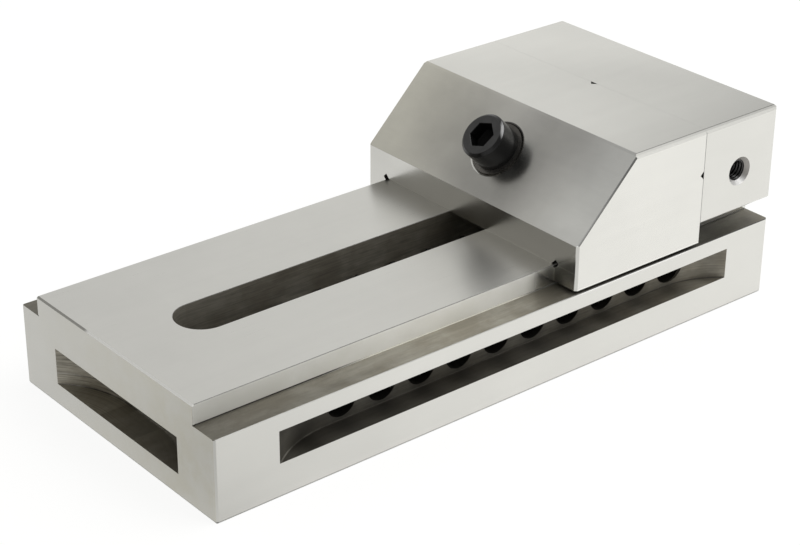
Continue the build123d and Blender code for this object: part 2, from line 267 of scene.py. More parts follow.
def body_places(tree, x, y, z, from_stop):
    """The body's own places by name, each 1 in its place and 0 elsewhere."""
    beside = do_math(tree, "ABSOLUTE", y)
    beyond = do_math(tree, "ABSOLUTE", x)
    inner = between(tree, x, 0.1 - END, END - 0.1)
    side_slot_floor = SIDE_CUTTER_LINE - CUTTER_RADIUS - 0.4
    end_slot_floor = END_CUTTER_LINE - CUTTER_RADIUS - 0.4
    mouth = product(
        tree, between(tree, from_stop, 0.0, STOP_MOUTH_RADIUS), between(tree, beside, STOP_FLOOR, SIDE - 0.02)
    )
    return {
        "milled": milled_places(tree, x, y, z),
        "ledge": product(
            tree,
            between(tree, z, LEDGE_TOP - 0.35, LEDGE_TOP + 0.2),
            between(tree, beside, RAIL_SIDE - 0.6, SIDE - 0.03),
            inner,
        ),
        "ledge_rim": product(
            tree, between(tree, z, LEDGE_TOP - 0.33, LEDGE_TOP - 0.01), between(tree, beside, SIDE - 0.33, SIDE)
        ),
        # A painted highlight line on the side just below the ledge's rim, along the jaw at rest
        "highlight_below_rim": product(
            tree,
            between(tree, z, LEDGE_TOP - 0.95, LEDGE_TOP - 0.30),
            between(tree, beside, SIDE - 0.05, SIDE + 0.1),
            ramp(tree, x, 0.030, 0.045),
            ramp(tree, x, 0.116, 0.100),
        ),
        # The foot line of the rail's sides, painted pale and dark as light and shade
        "rail_foot_line": product(
            tree,
            between(tree, z, LEDGE_TOP - 0.1, LEDGE_TOP + 0.1),
            between(tree, beside, RAIL_SIDE, RAIL_SIDE + 0.25),
        ),
        "undercut": product(
            tree,
            between(tree, z, LEDGE_TOP - 0.1, LEDGE_TOP + 0.62),
            between(tree, beside, RAIL_SIDE - 0.45, RAIL_SIDE - 0.02),
            inner,
        ),
        # A painted highlight on the chamfer under the fixed jaw's overhang
        "overhang": product(
            tree,
            between(tree, z, RAIL_TOP + 1.55, RAIL_TOP + 2.45),
            between(tree, beside, SIDE - 0.85, SIDE - 0.02),
            between(tree, x, FIXED_FACE, END),
        ),
        "rail_side": product(
            tree,
            between(tree, z, LEDGE_TOP + 0.62, RAIL_TOP + 1.6),
            between(tree, beside, RAIL_SIDE - 0.6, RAIL_SIDE + 0.1),
            do_math(tree, "SUBTRACT", 1.0, between(tree, z, RAIL_TOP - 0.02, RAIL_TOP + 0.02)),
            inner,
        ),
        "rail_top": product(
            tree, between(tree, z, RAIL_TOP - 0.1, RAIL_TOP + 0.1), between(tree, x, -END, FIXED_FACE)
        ),
        "rail_rim": product(
            tree, between(tree, z, RAIL_TOP - 0.32, RAIL_TOP - 0.01), between(tree, x, 0.9 - END, FIXED_FACE - 1.0)
        ),
        "front_rim": product(
            tree, between(tree, z, RAIL_TOP - 0.82, RAIL_TOP - 0.02), between(tree, x, -END - 0.1, 0.82 - END)
        ),
        "side_slot": product(
            tree,
            between(tree, beside, side_slot_floor, SIDE - 0.1),
            between(tree, z, *SIDE_SLOT_HEIGHTS),
            between(tree, x, *SIDE_SLOT_ENDS),
        ),
        "end_slot": product(
            tree,
            between(tree, beyond, end_slot_floor, END - 0.1),
            between(tree, z, *END_SLOT_HEIGHTS),
            between(tree, beside, 0.0, END_SLOT_REACH),
        ),
        "notches": product(
            tree,
            between(tree, beside, NOTCH_FLOOR, side_slot_floor),
            between(tree, z, *SIDE_SLOT_HEIGHTS),
            between(tree, beyond, 0.0, NOTCH_REACH),
        ),
        "mouth": mouth,
        # Painted shade: the inner part of each stop hole's mouth is painted nearly black, standing in for the shaded
        # thread running out into it
        "thread_end_shade": product(tree, between(tree, from_stop, 0.0, STOP_THREAD_RADIUS), mouth),
        "joint": product(
            tree,
            between(tree, x, FIXED_FACE - 0.05, FIXED_FACE + 0.15),
            between(tree, beside, SIDE - 0.3, SIDE + 0.1),
            between(tree, z, RAIL_TOP + 1.0, JAW_TOP - 1.0),
        ),
    }


def from_cutter(tree, along, across, middle, flat, line):
    """Distance from the path of a disc cutter's centre that cut a slot along one side of the body."""
    past_end = do_math(tree, "ABSOLUTE", do_math(tree, "SUBTRACT", along, middle * MM))
    past_end = do_math(tree, "MAXIMUM", do_math(tree, "SUBTRACT", past_end, flat * MM), 0.0)
    from_line = do_math(tree, "SUBTRACT", do_math(tree, "ABSOLUTE", across), line * MM)
    squares = do_math(tree, "ADD", do_math(tree, "POWER", past_end, 2.0), do_math(tree, "POWER", from_line, 2.0))
    return do_math(tree, "SQRT", squares)


def cutter_marks(tree, where, away, level_face):
    """Fine marks of the disc cutter: arcs on the slots' floors, level lines on their walls."""
    place = add_node(tree, "ShaderNodeCombineXYZ", {0: away}).outputs[0]
    arcs = grain(tree, place, (1500.0, 1500.0, 1500.0), detail=3.0)
    lines = grain(tree, where, (60.0, 60.0, 1500.0), detail=3.0)
    return blend_values(tree, level_face, lines, arcs)


def slot_brown(tree, x, y, along, marks, blotch, places):
    """The brown of the milled places, with its marks and with painted light and shade: lighter and darker along the
    slots, darker at each notch hole and nearly black inside them, darker in the rail slot.
    """
    contrast = do_math(tree, "MULTIPLY_ADD", ramp(tree, y, -0.01, 0.03), 1.8, 0.6)
    contrast = blend_values(tree, places["end_slot"], 1.1, contrast)
    swing = do_math(tree, "MULTIPLY_ADD", do_math(tree, "SUBTRACT", marks, 0.5), contrast, 1.0)
    brown = multiplied(tree, blend_colours(tree, blotch, *BROWN), as_colour(tree, swing))

    # Painted shade, darker at each notch hole than between them
    from_notch = do_math(tree, "SUBTRACT", x, NOTCH_PLACE * MM)
    phase = do_math(tree, "MULTIPLY", from_notch, math.tau / (NOTCH_PITCH * MM))
    notch_shade = do_math(tree, "MULTIPLY_ADD", do_math(tree, "COSINE", phase), -0.22, 1.1)
    side_slot_light = do_math(tree, "MULTIPLY", levels_along(tree, along, SIDE_SLOT_LIGHT_LEVELS), notch_shade)
    end_slot_light = levels_along(tree, do_math(tree, "MULTIPLY_ADD", y, 10.0, 0.5), END_SLOT_LIGHT_LEVELS)
    tone = blend_values(tree, places["side_slot"], 1.0, side_slot_light)
    tone = blend_values(tree, places["end_slot"], tone, end_slot_light)
    tone = blend_values(tree, places["notches"], tone, 0.12)
    rail_slot = between(tree, do_math(tree, "ABSOLUTE", y), 0.0, RAIL_SLOT + 0.1)
    tone = blend_values(tree, rail_slot, tone, do_math(tree, "MULTIPLY", tone, 0.78))
    return multiplied(tree, brown, as_colour(tree, tone))


def corner_shade_lines(tree, z, away, places):
    """Painted shade lines in the lower corners of the slots."""
    side_low, end_low = SIDE_SLOT_HEIGHTS[0], END_SLOT_HEIGHTS[0]
    heights = do_math(
        tree,
        "MAXIMUM",
        between(tree, z, side_low + 0.3, side_low + 0.75),
        product(tree, between(tree, z, end_low + 0.3, end_low + 0.75), places["end_slot"]),
    )
    return product(
        tree,
        do_math(tree, "MAXIMUM", places["side_slot"], places["end_slot"]),
        between(tree, away, CUTTER_RADIUS - 0.55, CUTTER_RADIUS + 0.2),
        heights,
    )


def mouth_grey(tree, past_stop, above_stop, beside, from_stop):
    """The turned mouths of the stop holes, in shade at the upper rear."""
    turned = add_node(tree, "ShaderNodeCombineXYZ", {0: from_stop, 1: beside}).outputs[0]
    rings = grain(tree, turned, (2600.0, 1600.0, 1.0), detail=3.0)
    light = blend_colours(tree, rings, grey(0.52, 0.01), grey(0.76, 0.01))
    dark = blend_colours(tree, rings, grey(0.20, 0.05), grey(0.44, 0.04))
    upper_rear = ramp(tree, do_math(tree, "ADD", past_stop, above_stop), -2.5 * MM, 2.5 * MM)
    return blend_colours(tree, upper_rear, light, dark)


def body_finish(tree, place, look):
    """Adds the body's own places to the look of ground steel: stained ledges, milled slots, turned mouths."""
    where, x, y, z, level_face, _ = place
    colour, roughness, metallic, scratches = look
    beside = do_math(tree, "ABSOLUTE", y)
    along = do_math(tree, "MULTIPLY_ADD", x, 0.5 / (END * MM), 0.5)
    past_stop = do_math(tree, "SUBTRACT", x, STOP_PLACE[0] * MM)
    above_stop = do_math(tree, "SUBTRACT", z, STOP_PLACE[1] * MM)
    squares = do_math(
        tree, "ADD", do_math(tree, "POWER", past_stop, 2.0), do_math(tree, "POWER", above_stop, 2.0)
    )
    from_stop = do_math(tree, "SQRT", squares)
    places = body_places(tree, x, y, z, from_stop)

    away = blend_values(
        tree,
        places["end_slot"],
        from_cutter(tree, x, y, SIDE_SLOT_MIDDLE, SIDE_SLOT_FLAT, SIDE_CUTTER_LINE),
        from_cutter(tree, y, x, 0.0, END_SLOT_FLAT, END_CUTTER_LINE),
    )
    marks = cutter_marks(tree, where, away, level_face)
    blotch = ramp(tree, grain(tree, where, (38.0, 55.0, 55.0), detail=5.0, roughness=0.65), 0.35, 0.68)
    streaks = grain(tree, where, (16.0, 200.0, 30.0), detail=4.0, roughness=0.7)

    brown = slot_brown(tree, x, y, along, marks, blotch, places)
    # The ledges' tan, with painted shade along them, darker beneath the jaws, and random streaks
    ledge_shade_and_streaks = product(tree, levels_along(tree, along, LEDGE_SHADE_LEVELS), about_one(tree, streaks, 0.8))
    tan = multiplied(tree, blend_colours(tree, blotch, *TAN), as_colour(tree, ledge_shade_and_streaks))
    # The rail's pale olive sides, with painted light along them
    rail_side_light = levels_along(tree, along, RAIL_SIDE_LIGHT_LEVELS)
    olive = multiplied(tree, blend_colours(tree, blotch, *OLIVE), as_colour(tree, rail_side_light))
    front_stain = product(
        tree,
        between(tree, x, -END - 1.0, 0.3 - END),
        ramp(tree, y, 0.12, -0.07),
        do_math(tree, "MULTIPLY_ADD", blotch, 0.6, 0.4),
    )
    # Painted light and shade on the front chamfer of the rail's top: a painted highlight on its near part, painted
    # shade on its far part
    front_rim_light = blend_colours(
        tree, ramp(tree, y, 0.018, 0.022), (0.93, 0.925, 0.89, 1.0), (0.34, 0.335, 0.31, 1.0)
    )
    # Painted shade on the ledges' outer chamfer, dimmed in front and nearly black beneath the jaw
    ledge_rim_shade = blend_colours(tree, ramp(tree, x, 0.020, 0.045), (0.42, 0.416, 0.395, 1.0), grey(0.06, 0.03))
    # Painted shade in the slots' lower corners, lighter towards the front end and blotchy
    corner_shade = blend_colours(
        tree, ramp(tree, along, 0.22, 0.12), (0.15, 0.14, 0.12, 1.0), (0.42, 0.40, 0.35, 1.0)
    )
    corner_shade = blend_colours(tree, blotch, (0.10, 0.093, 0.078, 1.0), corner_shade)
    # Painted light and shade at the foot of the rail's sides: a painted highlight line from the front part up to the
    # jaw's nose, painted shade from there on, and painted shade in the undercut's front part
    painted_edge_light = blend_colours(
        tree, ramp(tree, x, 0.012, 0.026), (0.95, 0.935, 0.86, 1.0), (0.30, 0.295, 0.27, 1.0)
    )
    rail_foot_light = blend_colours(tree, ramp(tree, x, -0.12, -0.06), tan, painted_edge_light)
    undercut_light_and_shade = blend_colours(tree, ramp(tree, x, -0.10, -0.07), (0.05, 0.048, 0.04, 1.0), painted_edge_light)
    for mask, tint in (
        (front_stain, (0.64, 0.62, 0.54, 1.0)),
        (places["rail_side"], olive),
        # Painted shade on the rail's top chamfers, which dims their highlight
        (places["rail_rim"], (0.27, 0.267, 0.25, 1.0)),
        (places["front_rim"], front_rim_light),
        (places["ledge"], tan),
        (places["ledge_rim"], ledge_rim_shade),
        (places["highlight_below_rim"], (0.93, 0.925, 0.90, 1.0)),
        (places["rail_foot_line"], rail_foot_light),
        (places["overhang"], (0.96, 0.955, 0.93, 1.0)),
        (places["milled"], brown),
        (places["undercut"], undercut_light_and_shade),
        (corner_shade_lines(tree, z, away, places), corner_shade),
        (places["mouth"], mouth_grey(tree, past_stop, above_stop, beside, from_stop)),
        (places["thread_end_shade"], grey(0.035, 0.03)),
        (places["joint"], grey(0.10, 0.05)),
    ):
        colour = blend_colours(tree, mask, colour, tint)

    dull = do_math(tree, "MAXIMUM", places["milled"], places["ledge"])
    for mask, gloss in (
        (places["rail_top"], do_math(tree, "MULTIPLY_ADD", scratches, 0.12, 0.24)),
        (dull, do_math(tree, "MULTIPLY", about_one(tree, marks, 0.5), 0.42)),
        (places["rail_side"], 0.13),
        (places["rail_rim"], 0.6),
        (places["mouth"], 0.42),
    ):
        roughness = blend_values(tree, mask, roughness, gloss)

    # The rail's side is shinier towards the fixed jaw, where it mirrors the foot of the closed jaw's nose
    rail_dull = lessened(tree, places["rail_side"], ramp(tree, x, 0.016, 0.028), 0.93)
    for mask, loss in (
        (places["milled"], 0.62),
        (places["ledge"], 0.35),
        (places["ledge_rim"], 0.20),
        (places["rail_foot_line"], 0.80),
        (places["undercut"], 0.85),
        (places["highlight_below_rim"], 0.30),
        (places["rail_rim"], 0.65),
        (places["overhang"], 0.80),
        (places["front_rim"], 0.85),
        (rail_dull, 0.76),
        (places["mouth"], 0.35),
        (places["joint"], 0.6),
    ):
        metallic = lessened(tree, metallic, mask, loss)
    scratches = blend_values(tree, places["milled"], scratches, marks)
    return colour, roughness, metallic, scratches


# The movable jaw's finish

def nose_foot(tree, nose, y, z):
    """The near foot of the nose, under a slanting line, where the photograph shows a dark reflection."""
    line = do_math(tree, "MULTIPLY_ADD", do_math(tree, "ADD", y, SIDE * MM), 0.40, z)
    fade = do_math(tree, "MULTIPLY", ramp(tree, z, 0.051, 0.042), ramp(tree, y, -0.063, -0.070))
    return product(
        tree,
        nose,
        ramp(tree, line, 0.0605, 0.0550),
        ramp(tree, y, -0.0595, -0.0615),
        do_math(tree, "SUBTRACT", 1.0, fade),
        do_math(tree, "MULTIPLY_ADD", ramp(tree, y, -0.062, -0.074), 0.12, 0.90),
    )


def jaw_finish(tree, place, look):
    """Adds the movable jaw's own places: the slope with painted light and painted shade spots, painted light and
    shade on the nose, sides and edges, the nose's foot, the dish, its rim and the underside in painted shade, and the
    joint line.
    """
    where, x, y, z, _, endwise = place
    colour, roughness, metallic, scratches = look
    beside = do_math(tree, "ABSOLUTE", y)
    slope = product(
        tree,
        endwise,
        between(tree, do_math(tree, "SUBTRACT", z, x), SLOPE_PLANE - 0.45, SLOPE_PLANE + 0.45),
        between(tree, z, NOSE_TOP, JAW_TOP),
    )
    nose = product(tree, endwise, between(tree, x, NOSE_FACE - 0.1, NOSE_FACE + 0.1))
    flank = between(tree, beside, SIDE - 0.05, SIDE + 0.1)
    hem_highlight = product(tree, flank, between(tree, z, JAW_HEM, JAW_HEM + 0.65))
    painted_nose_highlight = product(tree, nose, between(tree, z, RAIL_TOP, RAIL_TOP + 0.3), ramp(tree, y, 0.02, -0.04))
    far_nose_shade = do_math(tree, "MULTIPLY", nose, ramp(tree, y, 0.030, 0.065))
    # Painted light on the slope: warmer and lighter towards the far side, cooler and lighter towards the near side,
    # lighter still low down on the near side
    painted_warm_light = do_math(tree, "MULTIPLY", ramp(tree, y, -0.02, 0.07), slope)
    painted_cool_light = do_math(tree, "MULTIPLY", ramp(tree, y, -0.02, -0.07), slope)
    low = do_math(tree, "MULTIPLY", ramp(tree, z, 0.096, 0.070), painted_cool_light)
    facing = add_node(tree, "ShaderNodeNewGeometry").outputs["True Normal"]
    facing = add_node(tree, "ShaderNodeSeparateXYZ", {0: facing}).outputs
    upright_edge_shade = product(tree, leans(tree, facing[0], DIAGONAL, 0.1), leans(tree, facing[1], DIAGONAL, 0.1))
    slope_edge_shade = product(
        tree,
        leans(tree, facing[0], 0.5, 0.08),
        leans(tree, facing[1], 0.7, 0.1),
        ramp(tree, z, 0.066, 0.096),
    )

    stain = grain(tree, where, (34.0, 30.0, 34.0), detail=4.0, roughness=0.6)
    swing = do_math(tree, "MULTIPLY", slope, 0.30)
    tone = do_math(tree, "MULTIPLY_ADD", do_math(tree, "SUBTRACT", stain, 0.5), swing, 1.0)
    # Painted shade spots on the slope, one of them below the screw head, where its reflection falls
    for centre, reach, change in (
        ((42.0, -6.0, 71.0), 0.036, -0.32),
        ((48.0, 22.0, 77.0), 0.026, -0.06),
        ((58.0, 34.0, 87.0), 0.040, -0.20),
        ((66.0, -30.0, 95.0), 0.042, -0.24),
    ):
        painted_shade_spot = ramp(tree, distance_from(tree, where, centre), reach, 0.008)
        tone = do_math(tree, "MULTIPLY_ADD", do_math(tree, "MULTIPLY", painted_shade_spot, slope), change, tone)
    # Painted light and shade: lighter sides, a darker nose face, darker still towards its far side, painted
    # highlights along the nose's near lower edge and along the sides' lower edge, painted shade on the nose's near
    # foot, on the slope's side chamfers and on the upright chamfers
    for mask, change in (
        (painted_warm_light, 0.18),
        (low, 0.30),
        (painted_cool_light, 0.05),
        (flank, 0.07),
        (nose, -0.07),
        (far_nose_shade, -0.10),
        (painted_nose_highlight, 0.25),
        (nose_foot(tree, nose, y, z), -0.70),
        (hem_highlight, 0.16),
        (slope_edge_shade, -0.50),
        (upright_edge_shade, -0.16),
    ):
        tone = do_math(tree, "MULTIPLY_ADD", mask, change, tone)
    colour = multiplied(tree, colour, as_colour(tree, tone))
    for mask, tint in ((painted_warm_light, (1.0, 0.99, 0.93, 1.0)), (painted_cool_light, (0.985, 1.0, 1.02, 1.0))):
        colour = blend_colours(tree, mask, colour, multiplied(tree, colour, tint))

    from_seat = add_node(tree, "ShaderNodeVectorMath", {0: where, 1: SEAT * MM}, operation="SUBTRACT").outputs[0]
    off_axis = add_node(tree, "ShaderNodeVectorMath", {0: from_seat, 1: OUTWARD}, operation="CROSS_PRODUCT")
    off_axis = add_node(tree, "ShaderNodeVectorMath", {0: off_axis.outputs[0]}, operation="LENGTH")
    off_axis = off_axis.outputs["Value"]
    # Painted shade: the dish around the washer and the jaw's underside are painted nearly black, and the dish's rim
    # is painted darker, which dims its highlight
    dish = product(tree, between(tree, off_axis, SHANK, DISH_MOUTH), endwise)
    dish_rim_shade = product(tree, between(tree, off_axis, DISH_MOUTH, DISH_MOUTH + 0.5), endwise)
    dark = do_math(tree, "MAXIMUM", dish, between(tree, z, LEDGE_TOP, JAW_HEM))
    joint = product(
        tree, between(tree, x, FIXED_FACE - 0.2, FIXED_FACE + 0.05), between(tree, beside, SIDE - 0.3, SIDE + 0.1)
    )
    for mask, tint in ((dish_rim_shade, grey(0.24, 0.02)), (dark, grey(0.025, 0.06)), (joint, grey(0.10, 0.05))):
        colour = blend_colours(tree, mask, colour, tint)
    metallic = lessened(tree, metallic, do_math(tree, "MAXIMUM", dark, joint), 0.8)
    return colour, roughness, metallic, scratches


# Materials

def along_or_across(tree, where, endwise, long, fine, detail):
    """Noise drawn out along the vise, and across it on the faces that look along the vise."""
    return blend_values(
        tree,
        endwise,
        grain(tree, where, (long, fine, fine), detail=detail),
        grain(tree, where, (fine, long, fine), detail=detail),
    )


def ground_steel(name, finish_places):
    """Surface-ground steel. Its lay follows the wheel, lengthwise on level faces and across on the others."""
    material, tree, shader = new_material(name)
    where = add_node(tree, "ShaderNodeTexCoord").outputs["Object"]
    x, y, z = add_node(tree, "ShaderNodeSeparateXYZ", {0: where}).outputs
    geometry = add_node(tree, "ShaderNodeNewGeometry")
    facing = add_node(tree, "ShaderNodeSeparateXYZ", {0: geometry.outputs["True Normal"]}).outputs
    endwise = do_math(tree, "GREATER_THAN", do_math(tree, "ABSOLUTE", facing[0]), 0.5)
    level_face = do_math(tree, "GREATER_THAN", do_math(tree, "ABSOLUTE", facing[2]), 0.5)
    level_side = do_math(tree, "GREATER_THAN", do_math(tree, "ABSOLUTE", facing[1]), 0.9)
    upward = do_math(tree, "COMPARE", facing[2], DIAGONAL, 0.1)
    bevel = product(tree, leans(tree, facing[1], DIAGONAL, 0.1), upward)

    scratches = along_or_across(tree, where, endwise, 22.0, 3600.0, 4.0)
    passes = along_or_across(tree, where, endwise, 4.0, 160.0, 2.0)
    clouds = grain(tree, where, (22.0, 22.0, 22.0), detail=4.0)
    smudges = grain(tree, where, (70.0, 55.0, 60.0), detail=5.0, roughness=0.7)
    wear = do_math(tree, "MULTIPLY", edge_wear(tree, 0.22), do_math(tree, "MULTIPLY_ADD", bevel, -0.36, 0.40))
    tone = product(
        tree,
        about_one(tree, scratches, 0.07),
        about_one(tree, passes, 0.04),
        about_one(tree, clouds, 0.10),
        about_one(tree, smudges, 0.04),
    )

    # Painted light and shade: the top face is darker towards its near and rear edges and lighter in the far rear
    # corner, the upward side chamfers are darker, most of all along the top faces' edges, and the sides are darker in
    # a band just below them
    top_face = product(tree, level_face, between(tree, z, JAW_TOP - 1.0, JAW_TOP + 1.0))
    top_light_and_shade = do_math(tree, "MULTIPLY_ADD", ramp(tree, x, 0.06, 0.17), -0.13, 0.03)
    top_light_and_shade = do_math(tree, "MULTIPLY_ADD", ramp(tree, y, -0.03, -0.09), -0.17, top_light_and_shade)
    far_corner = ramp(tree, do_math(tree, "ADD", x, y), 0.12, 0.20)
    top_light_and_shade = do_math(tree, "MULTIPLY_ADD", far_corner, 0.16, top_light_and_shade)
    bevel_shade = do_math(tree, "MULTIPLY_ADD", between(tree, z, JAW_TOP - 0.28, JAW_TOP + 0.1), -0.38, -0.27)
    below_bevel_shade = product(tree, level_side, between(tree, z, JAW_TOP - 2.25, JAW_TOP - 1.8))
    for mask, change in ((top_face, top_light_and_shade), (bevel, bevel_shade), (below_bevel_shade, -0.12)):
        tone = do_math(tree, "MULTIPLY", tone, do_math(tree, "MULTIPLY_ADD", mask, change, 1.0))

    colour = multiplied(tree, STEEL, as_colour(tree, tone))
    colour = blend_colours(tree, wear, colour, grey(0.80, 0.01))
    roughness = do_math(tree, "MULTIPLY_ADD", do_math(tree, "SUBTRACT", scratches, 0.5), 0.12, 0.22)
    roughness = do_math(tree, "MULTIPLY_ADD", do_math(tree, "SUBTRACT", smudges, 0.5), 0.10, roughness)
    roughness = blend_values(tree, bevel, roughness, 0.40)
    metallic = do_math(tree, "MULTIPLY_ADD", wear, -0.6, 1.0)
    place = (where, x, y, z, level_face, endwise)
    colour, roughness, metallic, scratches = finish_places(tree, place, (colour, roughness, metallic, scratches))

    tree.links.new(colour, shader.inputs["Base Color"])
    tree.links.new(roughness, shader.inputs["Roughness"])
    tree.links.new(metallic, shader.inputs["Metallic"])
    bump = add_node(tree, "ShaderNodeBump", {"Height": scratches, "Strength": 0.045, "Distance": 0.02 * MM})
    tree.links.new(bump.outputs[0], shader.inputs["Normal"])
    lay = add_node(tree, "ShaderNodeCombineXYZ", {0: do_math(tree, "SUBTRACT", 1.0, endwise), 1: endwise}).outputs[0]
    over = add_node(tree, "ShaderNodeVectorMath", {0: geometry.outputs["Normal"], 1: lay}, operation="CROSS_PRODUCT")
    tree.links.new(over.outputs[0], shader.inputs["Tangent"])
    shader.inputs["Anisotropic"].default_value = 0.65
    return material


def from_screw_axis(tree, where):
    """Height above the seat along the screw, and reach towards the side where the head's bevel has a painted
    highlight and the washer painted shade.
    """
    offset = add_node(tree, "ShaderNodeVectorMath", {0: where, 1: SEAT * MM}, operation="SUBTRACT").outputs[0]
    height = add_node(tree, "ShaderNodeVectorMath", {0: offset, 1: OUTWARD}, operation="DOT_PRODUCT")
    toward = add_node(tree, "ShaderNodeVectorMath", {0: offset, 1: HIGHLIGHT_AND_SHADE_SIDE}, operation="DOT_PRODUCT")
    return height.outputs["Value"], toward.outputs["Value"]


def black_oxide(name, finish_places, gloss, specular, metallic):
    """Blackened steel: almost black, satin, a little uneven, worn lighter along its edges."""
    material, tree, shader = new_material(name)
    where = add_node(tree, "ShaderNodeTexCoord").outputs["Object"]
    spots = grain(tree, where, (1300.0, 1300.0, 1300.0), detail=4.0)
    clouds = grain(tree, where, (240.0, 240.0, 240.0), detail=3.0)
    height, toward = from_screw_axis(tree, where)
    colour = finish_places(tree, height, toward, clouds, edge_wear(tree, 0.22))
    roughness = product(tree, about_one(tree, spots, 0.7), about_one(tree, clouds, 0.3))
    roughness = do_math(tree, "MULTIPLY", roughness, gloss)
    tree.links.new(colour, shader.inputs["Base Color"])
    tree.links.new(roughness, shader.inputs["Roughness"])
    shader.inputs["Metallic"].default_value = metallic
    shader.inputs["Specular IOR Level"].default_value = specular
    bump = add_node(tree, "ShaderNodeBump", {"Height": spots, "Strength": 0.10, "Distance": 0.03 * MM})
    tree.links.new(bump.outputs[0], shader.inputs["Normal"])
    return material


def screw_black(tree, height, toward, clouds, wear):
    """The screw's black: a greyer end face, lighter edges and a painted highlight on the head's bevel, in place of a
    lamp's reflection.
    """
    colour = blend_colours(tree, clouds, grey(0.003, 0.01), grey(0.010, 0.01))
    end_face = blend_colours(tree, clouds, grey(0.028, 0.0), grey(0.060, 0.0))
    colour = blend_colours(tree, between(tree, height, HEAD_TOP - 0.04, HEAD_TOP + 0.06), colour, end_face)
    colour = blend_colours(tree, do_math(tree, "MULTIPLY", wear, 0.45), colour, grey(0.13, 0.0))
    # A painted highlight on the head's bevel, in place of a lamp's reflection there
    painted_highlight = between(tree, height, HEAD_TOP - 1.19, HEAD_TOP - 0.14)
    painted_highlight = product(tree, painted_highlight, ramp(tree, toward, 0.0098, 0.0110))
    return blend_colours(tree, painted_highlight, colour, blend_colours(tree, clouds, grey(0.26, 0.0), grey(0.50, 0.0)))


def washer_black(tree, _, toward, clouds, wear):
    """The washer's brownish black, darker with painted shade towards one side beside the head, with lighter edges."""
    colour = blend_colours(tree, clouds, grey(0.11, 0.05), grey(0.22, 0.05))
    # Painted shade: the washer is darker towards one side beside the head
    dark = blend_colours(tree, clouds, grey(0.07, 0.05), grey(0.14, 0.05))
    colour = blend_colours(tree, ramp(tree, toward, -0.009, 0.004), colour, dark)
    return blend_colours(tree, do_math(tree, "MULTIPLY", wear, 0.30), colour, grey(0.30, 0.05))


def socket_black(name):
    """The unlit black of the hexagon socket, with broaching lines down its walls."""
    material, tree, shader = new_material(name)
    where = add_node(tree, "ShaderNodeTexCoord").outputs["Object"]
    lines = grain(tree, where, (700.0, 2500.0, 700.0), detail=3.0)
    colour = blend_colours(tree, lines, grey(0.001), grey(0.006))
    tree.links.new(colour, shader.inputs["Base Color"])
    tree.links.new(do_math(tree, "MULTIPLY_ADD", lines, 0.3, 0.4), shader.inputs["Roughness"])
    shader.inputs["Specular IOR Level"].default_value = 0.12
    return material


def plain_steel(name, level, warm, gloss):
    """Turned or rolled steel of the small inner pieces."""
    material, tree, shader = new_material(name)
    where = add_node(tree, "ShaderNodeTexCoord").outputs["Object"]
    turning = grain(tree, where, (1500.0, 300.0, 1500.0), detail=3.0)
    clouds = grain(tree, where, (120.0, 120.0, 120.0), detail=4.0)
    wear = edge_wear(tree, 0.2)
    colour = blend_colours(tree, clouds, grey(level * 0.8, warm), grey(level * 1.2, warm))
    colour = blend_colours(tree, do_math(tree, "MULTIPLY", wear, 0.5), colour, grey(level * 1.2 + 0.14, 0.02))
    roughness = do_math(tree, "MULTIPLY", about_one(tree, turning, 0.6), gloss)
    tree.links.new(colour, shader.inputs["Base Color"])
    tree.links.new(roughness, shader.inputs["Roughness"])
    shader.inputs["Metallic"].default_value = 1.0
    bump = add_node(tree, "ShaderNodeBump", {"Height": turning, "Strength": 0.1, "Distance": 0.02 * MM})
    tree.links.new(bump.outputs[0], shader.inputs["Normal"])
    return material


# Pieces

def skin_rings(name, rings, looped, material):
    """One closed mesh over rings of points. A looped skin comes back to its first ring, others are capped."""
    sharp_angle = math.radians(8.0)
    work = bmesh.new()
    rows = [[work.verts.new(point * MM) for point in ring] for ring in rings]
    pairs = list(zip(rows, rows[1:]))
    if looped:
        pairs.append((rows[-1], rows[0]))
    for first, second in pairs:
        for i in range(len(first)):
            j = (i + 1) % len(first)
            work.faces.new((first[i], first[j], second[j], second[i]))
    if not looped:
        work.faces.new(list(reversed(rows[0])))
        work.faces.new(rows[-1])
    bmesh.ops.recalc_face_normals(work, faces=work.faces)
    mesh = bpy.data.meshes.new(name)
    work.to_mesh(mesh)
    work.free()
    mesh.polygons.foreach_set("use_smooth", [True] * len(mesh.polygons))
    mesh.set_sharp_from_angle(angle=sharp_angle)
    mesh.materials.append(material)
    piece = bpy.data.objects.new(name, mesh)
    bpy.context.scene.collection.objects.link(piece)
    return piece


def thread_depth(height, angle, pitch):
    """0 on the crest and 1 at the root of a right-hand thread."""
    phase = (height / pitch - angle / math.tau) % 1.0
    distance = abs(phase - 0.5) * 2
    crest_share, flank_share = 0.125, 0.625
    return min(max((distance - crest_share) / flank_share, 0.0), 1.0)


def softened(profile, cut):
    """Rounds the inner corners of a profile of (radius, height) points by a few points each."""
    points = [Vector(point) for point in profile]
    result = [points[0]]
    for before, corner, after in zip(points, points[1:], points[2:]):
        reach = min(cut, (before - corner).length * 0.4, (after - corner).length * 0.4)
        first = corner + (before - corner).normalized() * reach
        last = corner + (after - corner).normalized() * reach
        middle = (first + last) * 0.25 + corner * 0.5
        result += [first, middle, last]
    result.append(points[-1])
    return result


